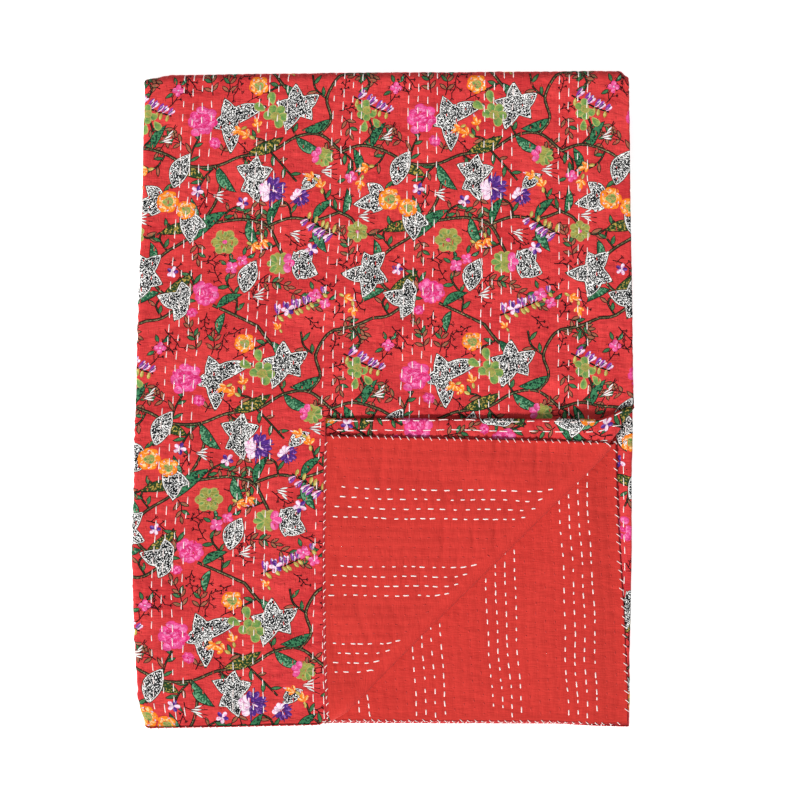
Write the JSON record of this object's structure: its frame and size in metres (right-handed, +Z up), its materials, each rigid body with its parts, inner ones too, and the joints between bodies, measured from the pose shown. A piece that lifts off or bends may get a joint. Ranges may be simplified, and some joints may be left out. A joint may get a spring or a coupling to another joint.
{
  "type": "folded kantha quilt",
  "caption": "Printed cotton quilt with rows of running stitch, folded into a flat packet, with one corner turned back to show its plain reverse.",
  "frame": {"origin": "centre of the folded packet's box, on the surface that it rests on", "axes": "+X to the right and +Y to the back of the packet as pictured from above, so the turned corner is at +X -Y; +Z up"},
  "size_m": [0.585, 0.77, 0.0313],
  "materials": {
    "printed_cloth": "printed cotton voile, matt, puckered by rows of running stitch",
    "plain_cloth": "plain dyed cotton voile, matt",
    "white_thread": "white cotton thread",
    "red_thread": "red cotton thread"
  },
  "bodies": {
    "root": {"quilt": "printed_cloth"}
  },
  "joints": []
}
